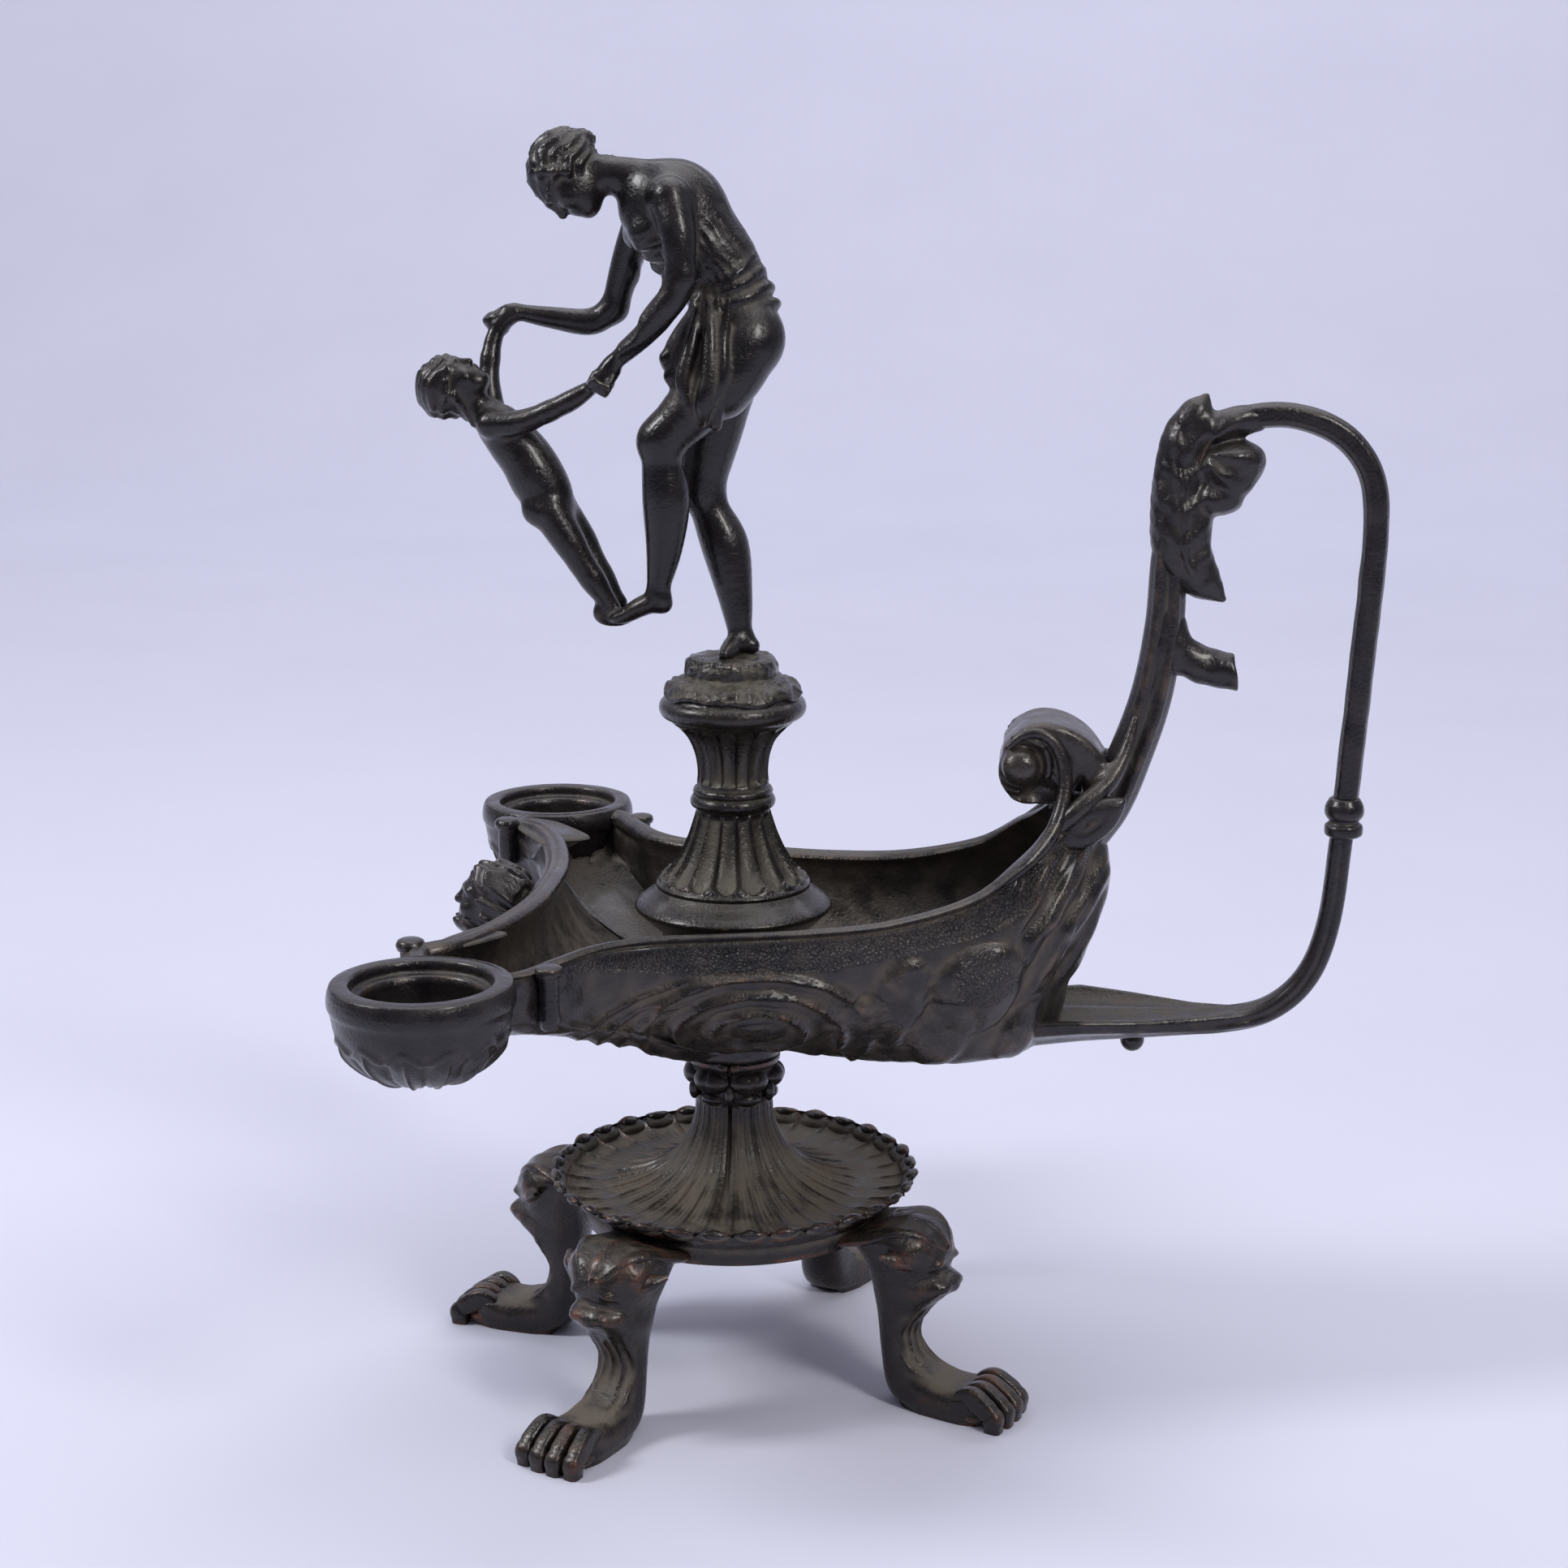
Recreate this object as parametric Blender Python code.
"""Small bronze oil lamp with two nozzles, on a dish stand with four paw feet.

Every size below is in millimetres.  The stand's axis is the vertical through (0, 0) while the
pieces are made; build() then moves them all so that the middle of the whole is at x = 0.
The nozzles point to -X, the handle to +X, and the soles stand on z = 0.
"""

import math

import bpy
import numpy as np

MM = 0.001
GAP = 0.3            # between pieces that touch

# heights along the axis
SOLE_Z = 0.0
PLATE_Z = 26.0       # underside of the plate ring
DISH_RIM_Z = 33.3
STEM_TOP_Z = 52.6
SEAT_Z = STEM_TOP_Z + GAP
BODY_Z = 55.2        # lowest point of the rounded hull, above the flat seat
FLOOR_Z = 57.6       # inside floor of the bowl
PAD_Z = 61.6         # top of the round pad that carries the column
PAD_RADIUS = 11.6
RIM_Z = 79.8
TORUS_TOP_Z = 111.6
ROCK_TOP_Z = 117.3

# dish and stem
DISH_RADIUS = 29.6
DISH_LOBES = 32
LOBE_DEPTH = 1.1
STEM_RADIUS = 6.0
KNOP_RADIUS = 8.1
NECK_RADIUS = 7.4
PLATE_RADIUS = 24.4

# legs
LEG_ANGLES = (-117.5, -23.5, 66.5, 163.0)     # in degrees; the casting's legs are not quite evenly set
TOES = 4
SOLE_BAND = 0.8      # a point of the foot lower than this is part of the flat sole

# nozzles
NOZZLE_X = -37.8
NOZZLE_Y = 55.8
NOZZLE_RADIUS = 13.4
NOZZLE_RIM_Z = 80.3
NOZZLE_BOTTOM_Z = 66.4
HOLE_RADIUS = 10.0
CUP_RADIUS = 8.6
CUP_FLOOR_Z = 69.4

# bowl
BOWL_CENTRE_X = 4.0
OUTLINE_STEPS = 48

# arch of the handle
ARCH_RADIUS = 1.9
ARCH_END_X = 99.6   # outermost point of the arch

# share of the faces that stays in each joined casting
STAND_SHARE = 0.84
BODY_SHARE = 0.79

AXIS_SHIFT = (NOZZLE_RADIUS - NOZZLE_X - ARCH_END_X) / 2


def clear_scene():
    for item in list(bpy.data.objects):
        bpy.data.objects.remove(item, do_unlink=True)


def bronze(name, colour, roughness):
    material = bpy.data.materials.new(name)
    material.use_nodes = True
    shader = material.node_tree.nodes["Principled BSDF"]
    shader.inputs["Base Color"].default_value = (*colour, 1.0)
    shader.inputs["Metallic"].default_value = 1.0
    shader.inputs["Roughness"].default_value = roughness
    return material


def add_object(name, points, faces, material=None):
    mesh = bpy.data.meshes.new(name)
    scaled = (np.asarray(points, float) + [AXIS_SHIFT, 0.0, 0.0]) * MM
    mesh.from_pydata(scaled.tolist(), [], [list(map(int, face)) for face in faces])
    mesh.update()
    item = bpy.data.objects.new(name, mesh)
    bpy.context.scene.collection.objects.link(item)
    if material:
        mesh.materials.append(material)
    return item


def curve_through(points, count, closed=False):
    """Smooth curve through the points: cubic pieces whose slope at a point is half the chord of its neighbours."""
    points = np.asarray(points, float)
    size = len(points)
    if closed:
        before, after = points[np.arange(-1, size - 1)], points[(np.arange(size) + 1) % size]
        slopes = (after - before) / 2
        spans = size
    else:
        slopes = np.gradient(points, axis=0)
        spans = size - 1
    place = np.linspace(0, spans, count, endpoint=not closed)
    index = np.minimum(place.astype(int), spans - 1)
    t = (place - index)[:, None]
    start, end = points[index], points[(index + 1) % size]
    leave, arrive = slopes[index], slopes[(index + 1) % size]
    return ((2 * t**3 - 3 * t**2 + 1) * start + (t**3 - 2 * t**2 + t) * leave
            + (3 * t**2 - 2 * t**3) * end + (t**3 - t**2) * arrive)


def ring_faces(rings, sides):
    """Quads between rings of points that run anticlockwise seen from the last ring, and the two end caps."""
    faces = []
    for ring in range(rings - 1):
        for side in range(sides):
            a = ring * sides + side
            b = ring * sides + (side + 1) % sides
            faces.append((a, b, b + sides, a + sides))
    faces.append(tuple(range(sides - 1, -1, -1)))
    faces.append(tuple(range((rings - 1) * sides, rings * sides)))
    return faces


def turned(profile, sides, centre=(0.0, 0.0), radius_at=None):
    """Surface of revolution of (radius, height) pairs from bottom to top; radius_at(radius, angle, row) may vary it."""
    angle = np.arange(sides) * 2 * math.pi / sides
    rings = []
    for row, (radius, height) in enumerate(profile):
        r = np.full(sides, float(radius)) if radius_at is None else radius_at(radius, angle, row)
        rings.append(np.column_stack([centre[0] + r * np.cos(angle), centre[1] + r * np.sin(angle),
                                      np.full(sides, float(height))]))
    return np.concatenate(rings), ring_faces(len(profile), sides)


def frames_along(path, side):
    """At each point of the path: the side direction made square to the path, and the third direction."""
    along = np.gradient(path, axis=0)
    along /= np.linalg.norm(along, axis=1)[:, None]
    across = side - (along @ side)[:, None] * along
    across /= np.linalg.norm(across, axis=1)[:, None]
    return across, np.cross(along, across)


def rod(path, wide, high, sides, side=(0.0, 1.0, 0.0)):
    """Rod along a path: an ellipse with half width wide along the side direction and half height high."""
    path = np.asarray(path, float)
    across, up = frames_along(path, np.asarray(side, float))
    angle = np.arange(sides) * 2 * math.pi / sides
    wide = np.broadcast_to(wide, len(path))[:, None, None]
    high = np.broadcast_to(high, len(path))[:, None, None]
    points = (path[:, None] + wide * np.cos(angle)[None, :, None] * across[:, None]
              + high * np.sin(angle)[None, :, None] * up[:, None])
    return points.reshape(-1, 3), ring_faces(len(path), sides)


def blob(centre, half, sides=10, rings=7, turn=0.0):
    """Ellipsoid with the half sizes half, leaned by the angle turn about the Y axis."""
    slope = (np.arange(rings) + 0.5) / rings * math.pi
    angle = np.arange(sides) * 2 * math.pi / sides
    x = np.sin(slope)[:, None] * np.cos(angle) * half[0]
    y = np.sin(slope)[:, None] * np.sin(angle) * half[1]
    z = -np.cos(slope)[:, None] * half[2] * np.ones(sides)
    points = np.stack([x * math.cos(turn) + z * math.sin(turn), y, z * math.cos(turn) - x * math.sin(turn)], -1)
    return points.reshape(-1, 3) + centre, ring_faces(rings, sides)


def combine(target, tool_points, tool_faces, operation="UNION"):
    """Join a closed shape to the target, or cut it out, and keep the result as the target's own mesh."""
    tool = add_object("tool", tool_points, tool_faces)
    step = target.modifiers.new("join", "BOOLEAN")
    step.operation = operation
    step.solver = "EXACT"
    step.object = tool
    graph = bpy.context.evaluated_depsgraph_get()
    result = bpy.data.meshes.new_from_object(target.evaluated_get(graph))
    target.modifiers.remove(step)
    target.data = result
    bpy.data.objects.remove(tool, do_unlink=True)


def merge_shapes(shapes):
    """Several closed shapes as one list of points and one of faces."""
    points, faces, start = [], [], 0
    for shape_points, shape_faces in shapes:
        points.append(np.asarray(shape_points, float))
        faces += [tuple(index + start for index in face) for face in shape_faces]
        start += len(shape_points)
    return np.concatenate(points), faces


def thin_out(item, share):
    """Merge the smallest faces that joining left, down to the given share of them."""
    step = item.modifiers.new("thinned", "DECIMATE")
    step.ratio = share


def shade(item):
    item.data.shade_smooth()
    item.data.set_sharp_from_angle(angle=math.radians(40))


# Stand

DISH_PROFILE = (  # radius, height, and the share of the lobes' depth that the radius takes
    (20.6, PLATE_Z + 2.4, 0.0),
    (22.0, PLATE_Z, 0.0),
    (PLATE_RADIUS, PLATE_Z, 0.0),
    (PLATE_RADIUS + 0.6, PLATE_Z + 2.6, 0.0),
    (DISH_RADIUS, DISH_RIM_Z - 0.6, 1.0),
    (DISH_RADIUS - 0.6, DISH_RIM_Z + 0.4, 1.0),
    (27.4, DISH_RIM_Z - 0.9, 0.7),
    (19.0, 31.4, 0.5),
    (9.6, 35.0, 0.4),
    (STEM_RADIUS, 42.0, 0.3),
    (STEM_RADIUS, 45.6, 0.3),
    (KNOP_RADIUS, 46.8, 0.5),
    (KNOP_RADIUS, 49.2, 0.2),
    (NECK_RADIUS, STEM_TOP_Z, 0.0),
)

# front and back outline of a leg as (radius from the axis, height), and its half width
LEG_STATIONS = (
    ((28.0, 32.4), (23.0, 27.2), 7.6),
    ((33.2, 33.0), (25.0, 25.6), 7.6),
    ((38.0, 30.2), (26.0, 22.8), 6.8),
    ((40.2, 26.4), (26.4, 20.2), 6.0),
    ((39.1, 24.4), (26.6, 18.4), 5.2),
    ((40.2, 22.0), (26.9, 16.6), 5.0),
    ((36.4, 18.0), (27.2, 14.0), 4.3),
    ((33.6, 13.0), (28.0, 9.0), 3.7),
    ((35.4, 8.8), (30.2, 1.6), 4.1),
    ((40.0, 8.0), (35.5, 0.0), 4.9),
    ((45.4, 6.6), (45.0, 0.0), 5.6),
    ((47.6, 8.8), (47.0, 0.0), 6.0),
    ((50.4, 7.8), (49.2, 0.0), 5.9),
    ((51.8, 3.8), (50.6, 0.0), 5.0),
)
TOE_START = 10
TOE_HEIGHT = 0.09


def leg_section(station, toes):
    """Outline across a leg: rounded in front, flatter behind, with a ridge for each toe if toes is set."""
    front, back, half_width = station
    upper = np.linspace(1, -1, 2 * TOES + 1)
    lower = np.linspace(-1, 1, 2 * TOES - 1)[1:-1]
    rise = 0.5 + 0.5 * (1 - np.abs(upper) ** 2.6) ** (1 / 2.6)
    fall = 0.5 - 0.5 * (1 - np.abs(lower) ** 4) ** 0.25
    if toes:
        rise += TOE_HEIGHT * (2 * np.abs(np.sin(TOES * math.pi * (upper + 1) / 2)) - 1)
    across = np.concatenate([upper, lower]) * half_width
    share = np.concatenate([rise, fall])[:, None]
    place = np.array(back) + (np.array(front) - np.array(back)) * share
    return across, place


def leg(angle):
    rings = []
    for row, station in enumerate(LEG_STATIONS):
        across, place = leg_section(station, row > TOE_START)
        radius, height = place[:, 0], place[:, 1]
        height = np.where(height < SOLE_BAND, SOLE_Z, height)
        rings.append(np.column_stack([radius * math.cos(angle) - across * math.sin(angle),
                                      radius * math.sin(angle) + across * math.cos(angle), height]))
    points = np.concatenate(rings)
    sides = len(rings[0])
    return points, ring_faces(len(rings), sides)


def make_stand(material):
    shares = [share for _, _, share in DISH_PROFILE]

    def lobed(radius, angle, row):
        return radius - LOBE_DEPTH * shares[row] * (0.5 - 0.5 * np.cos(DISH_LOBES * angle))

    profile = [(radius, height) for radius, height, _ in DISH_PROFILE]
    stand = add_object("stand", *turned(profile, 2 * DISH_LOBES, radius_at=lobed), material)
    for degrees in LEG_ANGLES:
        combine(stand, *leg(math.radians(degrees)))
    thin_out(stand, STAND_SHARE)
    return stand


# Bowl

# half of the rim's outer outline, from the handle round to the front: x, y, z and the wall's width
RIM_HALF = (
    (56.0, 0.0, 95.5, 4.0),
    (52.5, 8.0, 93.5, 3.2),
    (45.5, 15.4, 89.0, 2.4),
    (38.0, 19.0, 84.2, 2.2),
    (26.0, 22.2, 81.0, 2.2),
    (14.0, 24.6, 80.0, 2.2),
    (2.0, 27.2, RIM_Z, 2.2),
    (-9.0, 30.0, RIM_Z, 2.2),
    (-16.0, 34.8, RIM_Z, 2.4),
    (-20.5, 42.0, RIM_Z, 2.4),
    (-25.0, 49.6, RIM_Z, 2.6),
    (-33.0, 53.0, RIM_Z, 3.0),
    (-41.0, 46.5, RIM_Z, 3.0),
    (-43.0, 39.0, RIM_Z, 3.0),
    (-38.4, 34.2, RIM_Z, 3.4),
    (-34.4, 25.0, RIM_Z, 3.4),
    (-31.6, 12.0, RIM_Z, 3.4),
    (-31.0, 0.0, RIM_Z, 3.4),
)
# wall from rim to bottom: (share of the outline's size, share of the depth) at the side, in a neck, at the back
SIDE_WALL = ((1.0, 0.0), (1.03, 0.12), (1.02, 0.3), (0.95, 0.5), (0.82, 0.69), (0.6, 0.86), (0.2, 1.0))
NECK_WALL = ((1.0, 0.0), (1.03, 0.1), (1.02, 0.2), (0.95, 0.32), (0.82, 0.44), (0.6, 0.6), (0.2, 1.0))
BACK_WALL = ((1.0, 0.0), (1.04, 0.14), (1.06, 0.32), (1.02, 0.5), (0.95, 0.72), (0.87, 0.97), (0.5, 1.03))
NECK_POINT = (-30.0, 50.0)
NECK_REACH = 24.0
BACK_X = 38.0        # from here on the wall is the back's
BACK_BLEND = 4.0


def rim_outline():
    half = np.array(RIM_HALF)
    mirrored = half[-2:0:-1] * [1, -1, 1, 1]
    return curve_through(np.concatenate([half, mirrored]), OUTLINE_STEPS, closed=True)


def inner_outline(outline):
    """The rim's inner edge: each outer point moved inwards, square to the outline, by the wall's width there."""
    ahead, behind = np.roll(outline, -1, axis=0), np.roll(outline, 1, axis=0)
    along = (ahead - behind)[:, :2]
    along /= np.linalg.norm(along, axis=1)[:, None]
    inner = outline[:, :3].copy()
    inner[:, 0] -= along[:, 1] * outline[:, 3]
    inner[:, 1] += along[:, 0] * outline[:, 3]
    return inner


def bell(distance, reach):
    return np.exp(-(distance / reach) ** 2)


def wall_shape(outline):
    """For each level of the wall and each point of the outline: the two shares, mixed from three walls by place."""
    away = np.hypot(outline[:, 0] - NECK_POINT[0], np.abs(outline[:, 1]) - NECK_POINT[1])
    neck = bell(away, NECK_REACH)[:, None]
    back = (1 / (1 + np.exp(-(outline[:, 0] - BACK_X) / BACK_BLEND)))[:, None]
    return [(1 - neck - back) * side_row + neck * neck_row + back * back_row
            for side_row, neck_row, back_row in zip(SIDE_WALL, NECK_WALL, BACK_WALL)]


def wall_levels(edge, shape, bottom_z):
    """Rings from the rim down: the edge drawn in towards the centre by the first share, lowered by the second."""
    rings = []
    for level in shape:
        x = BOWL_CENTRE_X + (edge[:, 0] - BOWL_CENTRE_X) * level[:, 0]
        y = edge[:, 1] * level[:, 0]
        z = edge[:, 2] - (edge[:, 2] - bottom_z) * level[:, 1]
        rings.append(np.column_stack([x, y, z]))
    return rings


def make_bowl_shell():
    outline = rim_outline()
    shape = wall_shape(outline)
    outside = wall_levels(outline[:, :3], shape, BODY_Z)[::-1]
    inside = wall_levels(inner_outline(outline), shape, FLOOR_Z)
    points = np.concatenate(outside + inside)
    return points, ring_faces(len(outside) + len(inside), OUTLINE_STEPS)


NOZZLE_PROFILE = (
    (3.0, NOZZLE_BOTTOM_Z),
    (7.4, NOZZLE_BOTTOM_Z + 0.8),
    (10.8, NOZZLE_BOTTOM_Z + 3.6),
    (12.8, NOZZLE_BOTTOM_Z + 8.0),
    (NOZZLE_RADIUS, NOZZLE_RIM_Z - 4.0),
    (NOZZLE_RADIUS - 1.2, NOZZLE_RIM_Z),
    (HOLE_RADIUS + 0.8, NOZZLE_RIM_Z),
)
CUP_PROFILE = (
    (4.5, CUP_FLOOR_Z),
    (CUP_RADIUS, CUP_FLOOR_Z + 3.6),
    (CUP_RADIUS, NOZZLE_RIM_Z - 2.0),
    (HOLE_RADIUS, NOZZLE_RIM_Z - 1.0),
    (HOLE_RADIUS + 0.2, NOZZLE_RIM_Z + 1.0),
)
NOZZLE_SIDES = 20

# paths of the handle's pieces in the plane y = 0, as (x, z)
STEM_PATH = ((55.0, 90.0), (58.5, 95.0), (61.4, 102.0), (64.6, 112.0), (66.3, 123.0), (66.8, 134.0),
             (68.4, 145.0), (71.0, 152.0))
STEM_FOOT = (3.4, 3.6)    # half width and half height of the stem at the bowl
STEM_HEAD = (2.2, 2.0)    # and under the leaves
STEM_STEPS = 11
STUB_PATH = ((65.6, 119.6), (70.0, 116.6), (76.0, 115.2))
STUB_RADIUS = 2.7
STRAP_PATH = ((46.0, 57.6), (57.0, 58.6), (67.0, 59.4), (77.0, 60.4), (84.5, 62.6), (90.0, 68.0), (93.0, 77.0),
              (94.4, 91.0))
STRAP_HALF_WIDTH = (10.0, 10.5, 8.0, 4.6, 2.6, 2.1, 1.9, 1.8)
STRAP_HALF_HEIGHT = (2.2, 1.5, 1.5, 1.6, 1.9, 1.9, 1.8, 1.8)
STRAP_EDGE_RISE = (3.6, 3.6, 2.4, 1.0, 0.0, 0.0, 0.0, 0.0)
STRAP_STEPS = 12
STRAP_SIDES = 8
STRAP_KNOB = ((63.2, 0.0, 56.8), 1.9)
ARCH_PATH = ((72.2, 152.2), (76.6, 154.4), (84.6, 155.0), (92.4, 152.0), (96.8, 145.8), (97.7, 137.0), (96.6, 120.0),
             (94.9, 97.0))
SOCKET_START = 1.0   # depth to which the arch is let into the leaves, and how far the socket reaches
SOCKET_END = 8.0
COLLAR_X = 94.5
COLLAR_PROFILE = ((2.4, 90.4), (2.7, 91.4), (2.7, 94.6), (2.2, 96.2))
SCROLL_PATH = ((56.5, 92.0), (57.8, 99.8), (53.8, 105.2), (48.0, 106.3), (43.2, 103.4), (42.3, 98.6), (45.0, 95.0),
               (49.0, 95.0), (50.4, 98.4), (48.4, 100.6))
SCROLL_HALF_WIDTH = 6.8
SCROLL_FOOT_SHARE = 0.8                 # width at the foot as a share of the widest
SCROLL_HALF_THICKNESS = (1.5, 0.9)      # at the foot and at the rolled end
EYE_LEAF_CENTRE = (55.4, 8.2, 92.8)     # the almond leaf on each side of the scroll's foot
EYE_LEAF_HALF = (6.2, 1.8, 2.7)
EYE_LEAF_LEAN = -33.0
RIM_KNOB = ((1.7, 77.0), (1.7, 81.0))   # small knob on the rim, outside each neck
RIM_KNOB_PLACE = (-43.4, 37.4)
ROLLED_END = ((1.8, 73.0), (1.8, 81.2))  # rolled end of the side wall where a neck begins
ROLLED_END_PLACE = (-21.2, 46.4)


def in_plane(path, count):
    return curve_through([(x, 0.0, z) for x, z in path], count)


# swellings of the vine leaves: centre, half sizes and lean in degrees
LEAF_LOBES = (
    ((69.4, 0.0, 150.4), (4.0, 4.8, 7.6), 18.0),
    ((67.0, 0.0, 140.0), (3.0, 4.4, 7.0), 4.0),
    ((65.8, 0.4, 133.8), (2.3, 3.8, 5.6), -6.0),
    ((75.4, -2.8, 145.4), (5.6, 2.2, 3.4), 14.0),
    ((75.4, 2.8, 145.4), (5.6, 2.2, 3.4), 14.0),
    ((72.6, 0.0, 141.6), (5.6, 3.4, 3.0), 20.0),
    ((76.2, 0.0, 150.2), (4.2, 2.8, 3.4), 0.0),
)
LEAF_SIDES = 8
LEAF_RINGS = 6
HANGING_LEAF = ((69.0, -1.2, 140.0), (69.9, -1.6, 133.0), (73.4, -1.4, 126.6))
HANGING_THICKNESS = (1.8, 1.8, 1.6, 1.2, 0.4)   # half sizes from root to tip
HANGING_BREADTH = (2.4, 2.5, 2.3, 1.7, 0.4)


def leaf_cluster():
    """Vine leaves round the top of the handle stem, and the pointed leaf that hangs below them."""
    lobes = [blob(centre, half, LEAF_SIDES, LEAF_RINGS, math.radians(lean)) for centre, half, lean in LEAF_LOBES]
    curve = curve_through(HANGING_LEAF, len(HANGING_THICKNESS))
    return lobes + [rod(curve, HANGING_THICKNESS, HANGING_BREADTH, 6)]


def strap():
    """The lower strap: a rod whose section widens to a leaf at the bowl, its edges turned up like a trough."""
    place = np.linspace(0, len(STRAP_PATH) - 1, STRAP_STEPS)
    wide = np.interp(place, range(len(STRAP_PATH)), STRAP_HALF_WIDTH)
    high = np.interp(place, range(len(STRAP_PATH)), STRAP_HALF_HEIGHT)
    turned_up = np.interp(place, range(len(STRAP_PATH)), STRAP_EDGE_RISE)
    points, faces = rod(in_plane(STRAP_PATH, STRAP_STEPS), wide, high, STRAP_SIDES)
    share = points[:, 1] / np.repeat(wide, STRAP_SIDES)
    points[:, 2] += np.repeat(turned_up, STRAP_SIDES) * share ** 2
    return points, faces


def scroll():
    curve = in_plane(SCROLL_PATH, 16)
    across, up = frames_along(curve, np.array([0.0, 1.0, 0.0]))
    half = SCROLL_HALF_WIDTH * np.linspace(SCROLL_FOOT_SHARE, 1.0, len(curve))
    thick = np.linspace(*SCROLL_HALF_THICKNESS, len(curve))
    corners = ((1, -1), (1, 1), (-1, 1), (-1, -1))
    rings = np.stack([curve + a * half[:, None] * across + b * thick[:, None] * up for a, b in corners], 1)
    return rings.reshape(-1, 3), ring_faces(len(curve), len(corners))


MASK_CENTRE = (-38.4, 0.0, 77.2)
MASK_HALF = (7.2, 6.0, 6.4)


def mask():
    """A head with a ring of hair, brow, nose and beard as soft swellings of a ball, on the front wall."""
    points, faces = blob((0, 0, 0), (1, 1, 1), sides=12, rings=8)
    forward = -points[:, 0]
    face = np.clip(forward, 0, 1)
    swell = (1 + 0.12 * np.exp(-((points[:, 2] - 0.75) / 0.3) ** 2)
             + 0.22 * face * bell(points[:, 1], 0.16) * bell(points[:, 2] + 0.05, 0.3)
             - 0.08 * face * bell(np.abs(points[:, 1]) - 0.36, 0.2) * bell(points[:, 2] - 0.15, 0.2)
             + 0.10 * face * bell(points[:, 2] + 0.7, 0.3))
    return points * swell[:, None] * MASK_HALF + MASK_CENTRE, faces


def arch_rod(start, end, radius):
    """The arch's rod between two distances from the point where it springs from the leaves."""
    curve = in_plane(ARCH_PATH, 80)
    away = np.linalg.norm(curve - curve[0], axis=1)
    part = curve[(away > start) & (away < end)]
    keep = np.linspace(0, len(part) - 1, min(18, len(part) // 2)).astype(int)
    return rod(part[keep], radius, radius, 8)


def make_lamp_body(material):
    body = add_object("lamp_body", *make_bowl_shell(), material)
    combine(body, *turned([(NECK_RADIUS, SEAT_Z), (NECK_RADIUS, FLOOR_Z - 1.4)], 16))
    combine(body, *turned([(5.0, FLOOR_Z - 1.1), (PAD_RADIUS, FLOOR_Z - 0.1), (PAD_RADIUS, PAD_Z)], 16))
    for hand in (-1, 1):
        combine(body, *turned(NOZZLE_PROFILE, NOZZLE_SIDES, (NOZZLE_X, hand * NOZZLE_Y)))
    for hand in (-1, 1):
        combine(body, *turned(CUP_PROFILE, NOZZLE_SIDES, (NOZZLE_X, hand * NOZZLE_Y)), "DIFFERENCE")
    combine(body, *mask())
    stem_size = np.linspace(STEM_FOOT, STEM_HEAD, STEM_STEPS)
    combine(body, *rod(in_plane(STEM_PATH, STEM_STEPS), stem_size[:, 0], stem_size[:, 1], 8))
    combine(body, *scroll())
    combine(body, *rod(in_plane(STUB_PATH, len(STUB_PATH)), STUB_RADIUS, STUB_RADIUS, 6))
    for shape in leaf_cluster():
        combine(body, *shape)
    combine(body, *arch_rod(SOCKET_START, SOCKET_END, ARCH_RADIUS + GAP), "DIFFERENCE")
    combine(body, *strap())
    knob_centre, knob_radius = STRAP_KNOB
    combine(body, *blob(knob_centre, (knob_radius,) * 3, 6, 4))
    combine(body, *turned(COLLAR_PROFILE, 8, (COLLAR_X, 0.0)))
    for hand in (-1, 1):
        x, y, z = EYE_LEAF_CENTRE
        combine(body, *blob((x, hand * y, z), EYE_LEAF_HALF, 6, 5, math.radians(EYE_LEAF_LEAN)))
        combine(body, *turned(RIM_KNOB, 6, (RIM_KNOB_PLACE[0], hand * RIM_KNOB_PLACE[1])))
        combine(body, *turned(ROLLED_END, 6, (ROLLED_END_PLACE[0], hand * ROLLED_END_PLACE[1])))
    thin_out(body, BODY_SHARE)
    return body


def make_handle_arch(material):
    return add_object("handle_arch", *arch_rod(SOCKET_START + GAP, math.inf, ARCH_RADIUS), material)


# Column

COLUMN_PROFILE = (  # radius, height, and the depth of the flutes there
    (11.0, PAD_Z + GAP, 0.0),
    (11.4, 73.0, 0.0),
    (15.4, 77.0, 0.0),
    (15.0, 78.0, 0.0),
    (12.0, 79.8, 0.0),
    (11.6, 81.4, 0.9),
    (8.6, 84.4, 0.8),
    (6.4, 88.6, 0.6),
    (5.3, 92.6, 0.4),
    (6.4, 93.6, 0.0),
    (6.4, 96.4, 0.0),
    (5.3, 97.4, 0.4),
    (5.4, 100.0, 0.5),
    (7.0, 104.2, 0.7),
    (9.6, 106.8, 0.5),
    (11.2, 108.2, 0.0),
    (11.2, 110.6, 0.0),
    (10.2, TORUS_TOP_Z, 0.0),
)
COLUMN_FLUTES = 16


def make_column(material):
    depths = [depth for _, _, depth in COLUMN_PROFILE]

    def fluted(radius, angle, row):
        return radius - depths[row] * (0.5 - 0.5 * np.cos(COLUMN_FLUTES * angle))

    profile = [(radius, height) for radius, height, _ in COLUMN_PROFILE]
    return add_object("column", *turned(profile, 2 * COLUMN_FLUTES, radius_at=fluted), material)


# Figures

ROCK_PROFILE = ((8.6, TORUS_TOP_Z + GAP), (8.8, 113.6), (7.4, 114.2), (7.0, 115.4), (6.6, 117.0), (5.6, ROCK_TOP_Z))


def limb(points, radii, count=8, sides=8):
    """A limb: a round rod on a smooth path through its joints, with a radius at each."""
    curve = curve_through(points, count)
    radius = np.interp(np.linspace(0, len(points) - 1, count), range(len(points)), radii)
    side = np.array([0.2, 1.0, 0.1])
    return rod(curve, radius, radius, sides, side)


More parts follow.
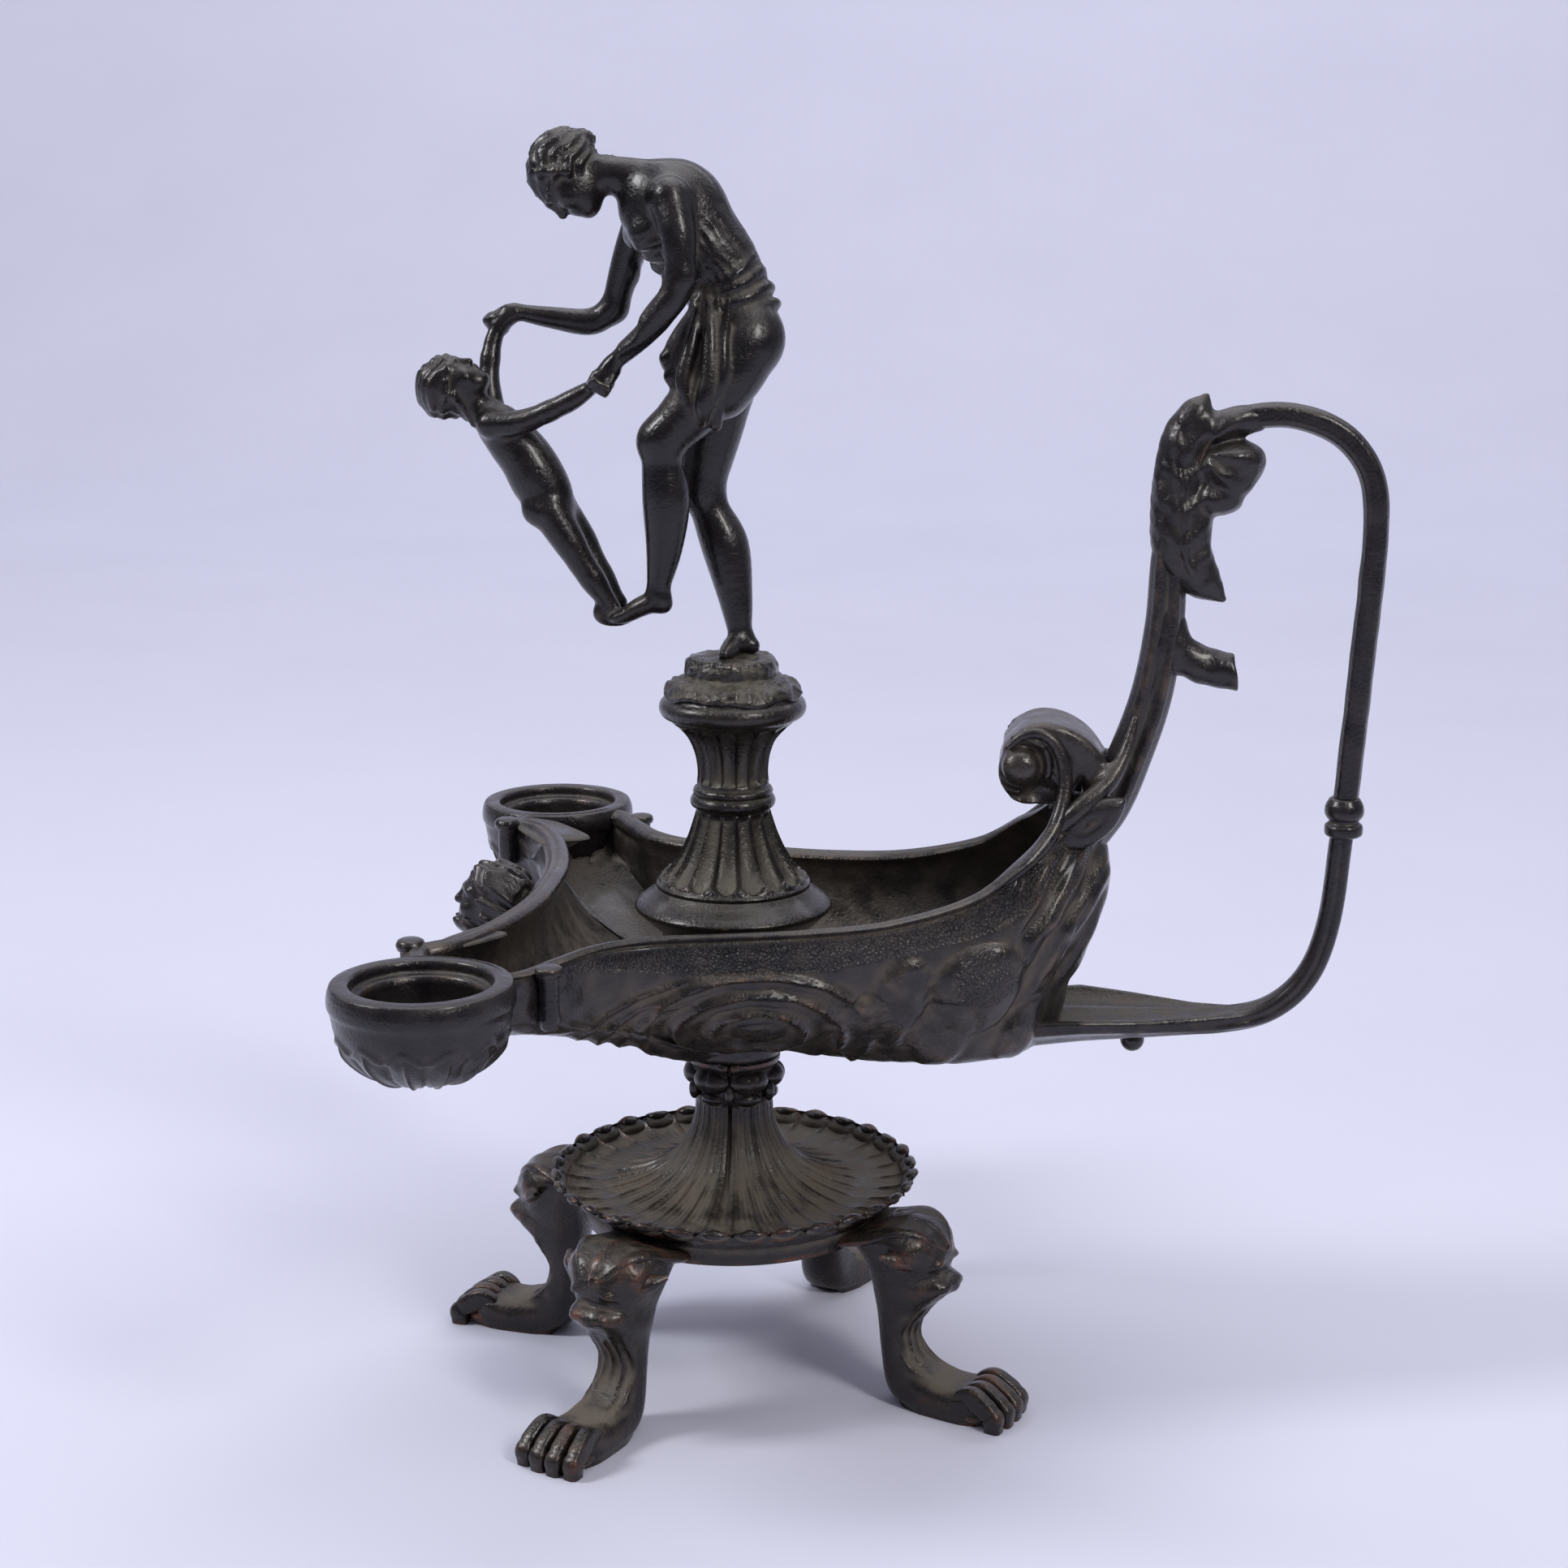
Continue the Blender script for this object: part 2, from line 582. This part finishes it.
def adult():
    near_hip, far_hip = (2.4, -3.4, 164.6), (-0.6, 3.8, 163.0)
    near_shoulder, far_shoulder = (-8.2, -6.6, 186.8), (-13.6, 6.8, 186.6)
    return [
        blob((-24.3, 0.3, 190.9), (6.9, 5.8, 6.4)),
        blob((-20.2, 0.3, 194.2), (3.0, 3.4, 2.8)),
        limb(((-21.0, 0.2, 190.6), (-15.0, 0.0, 190.0), (-9.0, 0.0, 188.2)), (3.0, 3.3, 4.6)),
        limb((near_shoulder, (-10.0, 0.0, 187.4), far_shoulder), (2.9, 4.4, 2.9)),
        blob((-7.4, 0.0, 185.8), (7.2, 6.6, 7.2)),
        limb(((-12.0, 0, 185.6), (-6.0, 0, 181.0), (-1.0, 0, 174.6), (1.6, 0, 167.4)), (5.2, 8.0, 7.2, 6.2), 9, 10),
        blob((2.8, -0.4, 166.6), (6.2, 6.8, 5.8)),
        limb((near_shoulder, (-6.6, -8.8, 181.0), (-6.4, -9.2, 174.6), (-11.4, -8.0, 168.0), (-17.6, -6.4, 162.0)),
             (3.0, 2.9, 2.4, 2.4, 1.5), 10),
        blob((-18.8, -6.0, 159.9), (1.9, 1.6, 2.4)),
        limb((far_shoulder, (-17.2, 9.2, 177.0), (-19.6, 10.6, 168.6), (-27.0, 9.6, 167.8), (-34.4, 8.4, 169.2)),
             (2.8, 2.6, 2.3, 2.1, 1.4), 10),
        blob((-36.6, 7.8, 168.6), (2.2, 1.5, 1.7)),
        limb((near_hip, (-3.4, -5.4, 157.8), (-9.8, -6.0, 150.8)), (5.6, 5.0, 3.7), 7, 9),
        limb(((-9.8, -6.0, 151.0), (-9.8, -5.6, 141.0), (-10.6, -4.6, 131.0), (-10.8, -4.4, 126.6)), (3.7, 3.6, 2.1, 1.8), 9),
        limb(((-9.4, -4.4, 126.4), (-13.4, -4.0, 125.4), (-17.0, -3.4, 123.6)), (1.8, 1.8, 1.2), 6),
        limb((far_hip, (-2.8, 4.4, 153.0), (-5.0, 4.0, 142.4)), (5.4, 4.9, 3.4), 7, 9),
        limb(((-5.0, 4.0, 142.6), (-2.2, 3.4, 134.0), (0.2, 2.2, 123.0), (1.1, 1.6, 118.6)), (3.5, 4.1, 2.3, 2.0), 9),
        limb(((2.2, 0.6, 118.2), (0.0, 4.0, 118.2), (-1.8, 6.6, 117.6)), (1.7, 1.7, 1.2), 6),
        limb(((-2.6, -3.0, 170.0), (-5.4, -3.6, 164.0), (-6.0, -3.6, 158.6)), (3.4, 3.4, 2.4), 6),
    ]


def child():
    return [
        blob((-43.4, 0.0, 158.4), (6.1, 5.4, 5.3)),
        limb(((-41.0, 0, 157.0), (-37.0, 0, 153.6), (-33.6, 0, 149.6)), (2.4, 2.8, 3.6), 6),
        limb(((-35.6, 0, 152.4), (-32.4, 0, 148.4), (-29.2, 0, 143.6), (-27.4, 0, 138.8)), (3.6, 4.5, 4.5, 4.3), 9, 10),
        limb(((-34.8, -3.6, 152.8), (-27.0, -5.4, 155.0), (-19.8, -6.0, 159.6)), (2.2, 2.0, 1.4), 8),
        limb(((-37.2, 3.4, 154.2), (-38.4, 5.6, 161.0), (-36.8, 7.4, 168.0)), (2.1, 1.9, 1.4), 8),
        limb(((-27.8, -1.8, 139.0), (-24.0, -2.4, 133.6), (-21.0, -2.2, 128.8), (-18.0, -2.0, 124.8)), (3.0, 2.3, 1.9, 1.4), 9),
        limb(((-27.0, 1.8, 139.0), (-22.8, 2.2, 133.6), (-20.2, 1.8, 129.0), (-17.6, 1.2, 125.0)), (3.0, 2.3, 1.9, 1.4), 9),
        limb(((-18.4, -0.6, 124.4), (-15.6, -1.2, 123.4), (-12.6, -2.0, 123.8)), (1.9, 1.9, 1.5), 6),
    ]


VOXEL = 0.7
FIGURE_SHARE = 0.046     # of the remeshed faces that stay after thinning


def make_figures(material):
    points, faces = merge_shapes(adult() + child() + [turned(ROCK_PROFILE, 16)])
    group = add_object("figure_group", points, faces, material)
    skin = group.modifiers.new("one skin", "REMESH")
    skin.mode = "VOXEL"
    skin.voxel_size = VOXEL * MM
    thin_out(group, FIGURE_SHARE)
    return group


def build():
    clear_scene()
    dark = bronze("dark_bronze", (0.045, 0.036, 0.030), 0.42)
    dusty = bronze("dusty_bronze", (0.085, 0.070, 0.048), 0.55)
    pieces = [make_stand(dusty), make_lamp_body(dark), make_handle_arch(dark), make_column(dusty), make_figures(dark)]
    for piece in pieces:
        shade(piece)


build()
